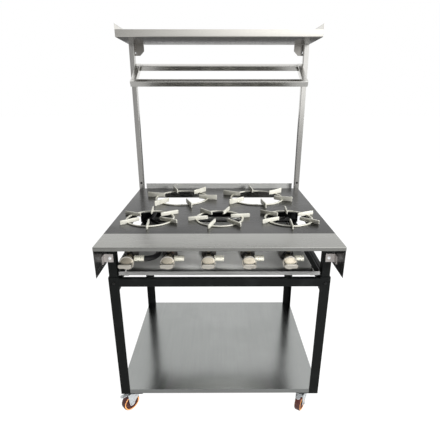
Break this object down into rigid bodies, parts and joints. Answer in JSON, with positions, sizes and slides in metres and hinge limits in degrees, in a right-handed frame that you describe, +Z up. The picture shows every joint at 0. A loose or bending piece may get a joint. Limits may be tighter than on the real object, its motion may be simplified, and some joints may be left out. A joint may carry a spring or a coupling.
{
  "type": "gas cooker",
  "caption": "Free-standing commercial gas cooker with a steel hob, open wheeled stand, drip tray, upper shelf and tilted seasoning rack.",
  "frame": {"origin": "on the floor under the middle of the hob", "axes": "+X to the cook's right, -Y is the front with the knobs, +Z up"},
  "size_m": [0.85, 0.79, 1.574],
  "materials": {
    "hob_steel": "satin",
    "pressed_steel": "satin",
    "tube_steel": "satin",
    "black_paint": "semi-gloss",
    "support_enamel": "semi-gloss",
    "burner_iron": "matte",
    "valve_brass": "polished",
    "knob_chrome": "polished",
    "zinc": "bright",
    "hose_rubber": "matte",
    "wheel_plastic": "satin"
  },
  "bodies": {
    "cooker": {"hob_plate": "hob_steel", "front_panel": "pressed_steel", "side_skirt_left": "pressed_steel", "side_skirt_right": "pressed_steel", "rear_apron": "pressed_steel", "stand_legs": "black_paint", "stand_rails": "black_paint", "tray_runners": "black_paint", "hob_posts": "black_paint", "hob_rails": "black_paint", "leg_brackets": "zinc", "burner_bars": "black_paint", "bottom_shelf": "pressed_steel", "castor_plates": "black_paint", "burner_caps": "burner_iron", "gas_valves": "valve_brass", "air_shutters": "burner_iron", "manifold": "zinc", "manifold_clips": "black_paint", "gas_hose": "hose_rubber", "gas_inlet": "valve_brass", "spigots": "tube_steel", "uprights": "tube_steel", "top_shelf": "pressed_steel", "gussets": "tube_steel", "rack_frame": "tube_steel", "bolts": "zinc", "castor_tops": "zinc", "burner_front_left": "burner_iron", "burner_rear_left": "burner_iron", "burner_front_centre": "burner_iron", "burner_rear_right": "burner_iron", "burner_front_right": "burner_iron"},
    "knob_1": {"knob_1": "knob_chrome", "valve_spindle_1": "valve_brass"},
    "knob_2": {"knob_2": "knob_chrome", "valve_spindle_2": "valve_brass"},
    "knob_3": {"knob_3": "knob_chrome", "valve_spindle_3": "valve_brass"},
    "knob_4": {"knob_4": "knob_chrome", "valve_spindle_4": "valve_brass"},
    "knob_5": {"knob_5": "knob_chrome", "valve_spindle_5": "valve_brass"},
    "drip_tray": {"drip_tray": "pressed_steel"},
    "pan_support_front_left": {"pan_support_front_left": "support_enamel"},
    "pan_support_rear_left": {"pan_support_rear_left": "support_enamel"},
    "pan_support_front_centre": {"pan_support_front_centre": "support_enamel"},
    "pan_support_rear_right": {"pan_support_rear_right": "support_enamel"},
    "pan_support_front_right": {"pan_support_front_right": "support_enamel"},
    "castor_front_left": {"castor_fork_front_left": "zinc"},
    "wheel_front_left": {"castor_wheel_front_left": "wheel_plastic"},
    "pedal_front_left": {"brake_pedal_front_left": "zinc"},
    "castor_front_right": {"castor_fork_front_right": "zinc"},
    "wheel_front_right": {"castor_wheel_front_right": "wheel_plastic"},
    "pedal_front_right": {"brake_pedal_front_right": "zinc"},
    "castor_rear_left": {"castor_fork_rear_left": "zinc"},
    "wheel_rear_left": {"castor_wheel_rear_left": "wheel_plastic"},
    "castor_rear_right": {"castor_fork_rear_right": "zinc"},
    "wheel_rear_right": {"castor_wheel_rear_right": "wheel_plastic"}
  },
  "joints": [
    {"name": "knob_1_turn", "type": "hinge", "parent": "cooker", "child": "knob_1", "pos_m": [-0.339, -0.304, 0.724], "axis": [0, -1, 0], "range_deg": [0, 90]},
    {"name": "knob_2_turn", "type": "hinge", "parent": "cooker", "child": "knob_2", "pos_m": [-0.19, -0.304, 0.724], "axis": [0, -1, 0], "range_deg": [0, 90]},
    {"name": "knob_3_turn", "type": "hinge", "parent": "cooker", "child": "knob_3", "pos_m": [-0.041, -0.304, 0.724], "axis": [0, -1, 0], "range_deg": [0, 90]},
    {"name": "knob_4_turn", "type": "hinge", "parent": "cooker", "child": "knob_4", "pos_m": [0.108, -0.304, 0.724], "axis": [0, -1, 0], "range_deg": [0, 90]},
    {"name": "knob_5_turn", "type": "hinge", "parent": "cooker", "child": "knob_5", "pos_m": [0.257, -0.304, 0.724], "axis": [0, -1, 0], "range_deg": [0, 90]},
    {"name": "drip_tray_slide", "type": "slide", "parent": "cooker", "child": "drip_tray", "axis": [0, -1, 0], "range_m": [0, 0.45]},
    {"name": "pan_support_front_left_lift", "type": "slide", "parent": "cooker", "child": "pan_support_front_left", "axis": [0, 0, 1], "range_m": [0, 0.12]},
    {"name": "pan_support_rear_left_lift", "type": "slide", "parent": "cooker", "child": "pan_support_rear_left", "axis": [0, 0, 1], "range_m": [0, 0.12]},
    {"name": "pan_support_front_centre_lift", "type": "slide", "parent": "cooker", "child": "pan_support_front_centre", "axis": [0, 0, 1], "range_m": [0, 0.12]},
    {"name": "pan_support_rear_right_lift", "type": "slide", "parent": "cooker", "child": "pan_support_rear_right", "axis": [0, 0, 1], "range_m": [0, 0.12]},
    {"name": "pan_support_front_right_lift", "type": "slide", "parent": "cooker", "child": "pan_support_front_right", "axis": [0, 0, 1], "range_m": [0, 0.12]},
    {"name": "castor_front_left_swivel", "type": "hinge", "parent": "cooker", "child": "castor_front_left", "pos_m": [-0.3685, -0.252, 0.097], "axis": [0, 0, 1], "continuous": true},
    {"name": "wheel_front_left_roll", "type": "hinge", "parent": "castor_front_left", "child": "wheel_front_left", "pos_m": [-0.38971, -0.27321, 0.0375], "axis": [0.7071, -0.7071, 0], "continuous": true},
    {"name": "pedal_front_left_press", "type": "hinge", "parent": "castor_front_left", "child": "pedal_front_left", "pos_m": [-0.39678, -0.28028, 0.08], "axis": [0.7071, -0.7071, 0], "range_deg": [0, 15]},
    {"name": "castor_front_right_swivel", "type": "hinge", "parent": "cooker", "child": "castor_front_right", "pos_m": [0.3685, -0.252, 0.097], "axis": [0, 0, 1], "continuous": true},
    {"name": "wheel_front_right_roll", "type": "hinge", "parent": "castor_front_right", "child": "wheel_front_right", "pos_m": [0.35172, -0.27687, 0.0375], "axis": [0.829, -0.5592, 0], "continuous": true},
    {"name": "pedal_front_right_press", "type": "hinge", "parent": "castor_front_right", "child": "pedal_front_right", "pos_m": [0.34613, -0.28516, 0.08], "axis": [0.829, -0.5592, 0], "range_deg": [0, 15]},
    {"name": "castor_rear_left_swivel", "type": "hinge", "parent": "cooker", "child": "castor_rear_left", "pos_m": [-0.3685, 0.321, 0.097], "axis": [0, 0, 1], "continuous": true},
    {"name": "wheel_rear_left_roll", "type": "hinge", "parent": "castor_rear_left", "child": "wheel_rear_left", "pos_m": [-0.36329, 0.35054, 0.0375], "axis": [-0.9848, 0.1736, 0], "continuous": true},
    {"name": "castor_rear_right_swivel", "type": "hinge", "parent": "cooker", "child": "castor_rear_right", "pos_m": [0.3685, 0.321, 0.097], "axis": [0, 0, 1], "continuous": true},
    {"name": "wheel_rear_right_roll", "type": "hinge", "parent": "castor_rear_right", "child": "wheel_rear_right", "pos_m": [0.35824, 0.34919, 0.0375], "axis": [-0.9397, -0.342, 0], "continuous": true}
  ]
}
